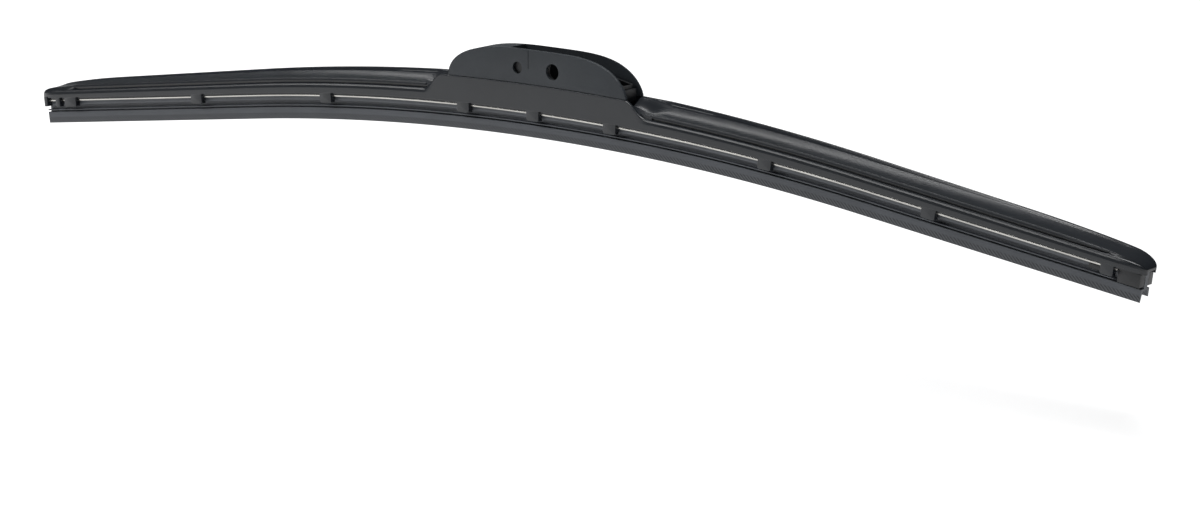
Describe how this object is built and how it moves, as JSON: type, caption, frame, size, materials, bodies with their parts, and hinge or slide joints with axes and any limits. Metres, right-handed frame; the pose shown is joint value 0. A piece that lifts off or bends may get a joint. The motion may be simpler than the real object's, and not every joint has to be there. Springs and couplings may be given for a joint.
{
  "type": "flat wiper blade",
  "caption": "Bowed flat wiper blade with a ridged spoiler, steel rails, a twin-lip rubber strip and a side-pin connector whose hook adapter swings on its pivot.",
  "frame": {"origin": "centre of the arm pin hole, in the blade's middle plane", "axes": "+X along the blade to the connector's open end, +Y across the blade along the arm pin, +Z away from the glass"},
  "size_m": [0.5574, 0.0126, 0.0619],
  "materials": {
    "spoiler": "satin",
    "connector": "fine matte texture",
    "adapter": "satin",
    "rubber": "matte",
    "steel": "rolled strip, satin"
  },
  "bodies": {
    "blade": {"cover": "spoiler", "rail_front": "steel", "rail_rear": "steel", "wiping_rubber": "rubber", "end_clip": "adapter", "connector_body": "connector", "rail_bridge": "steel", "bridge_rivets": "steel"},
    "adapter": {"hook_adapter": "adapter"}
  },
  "joints": [
    {"name": "adapter_swing", "type": "hinge", "parent": "blade", "child": "adapter", "pos_m": [-0.0178, 0, -0.0001], "axis": [0, -1, 0], "range_deg": [-2, 18]}
  ]
}
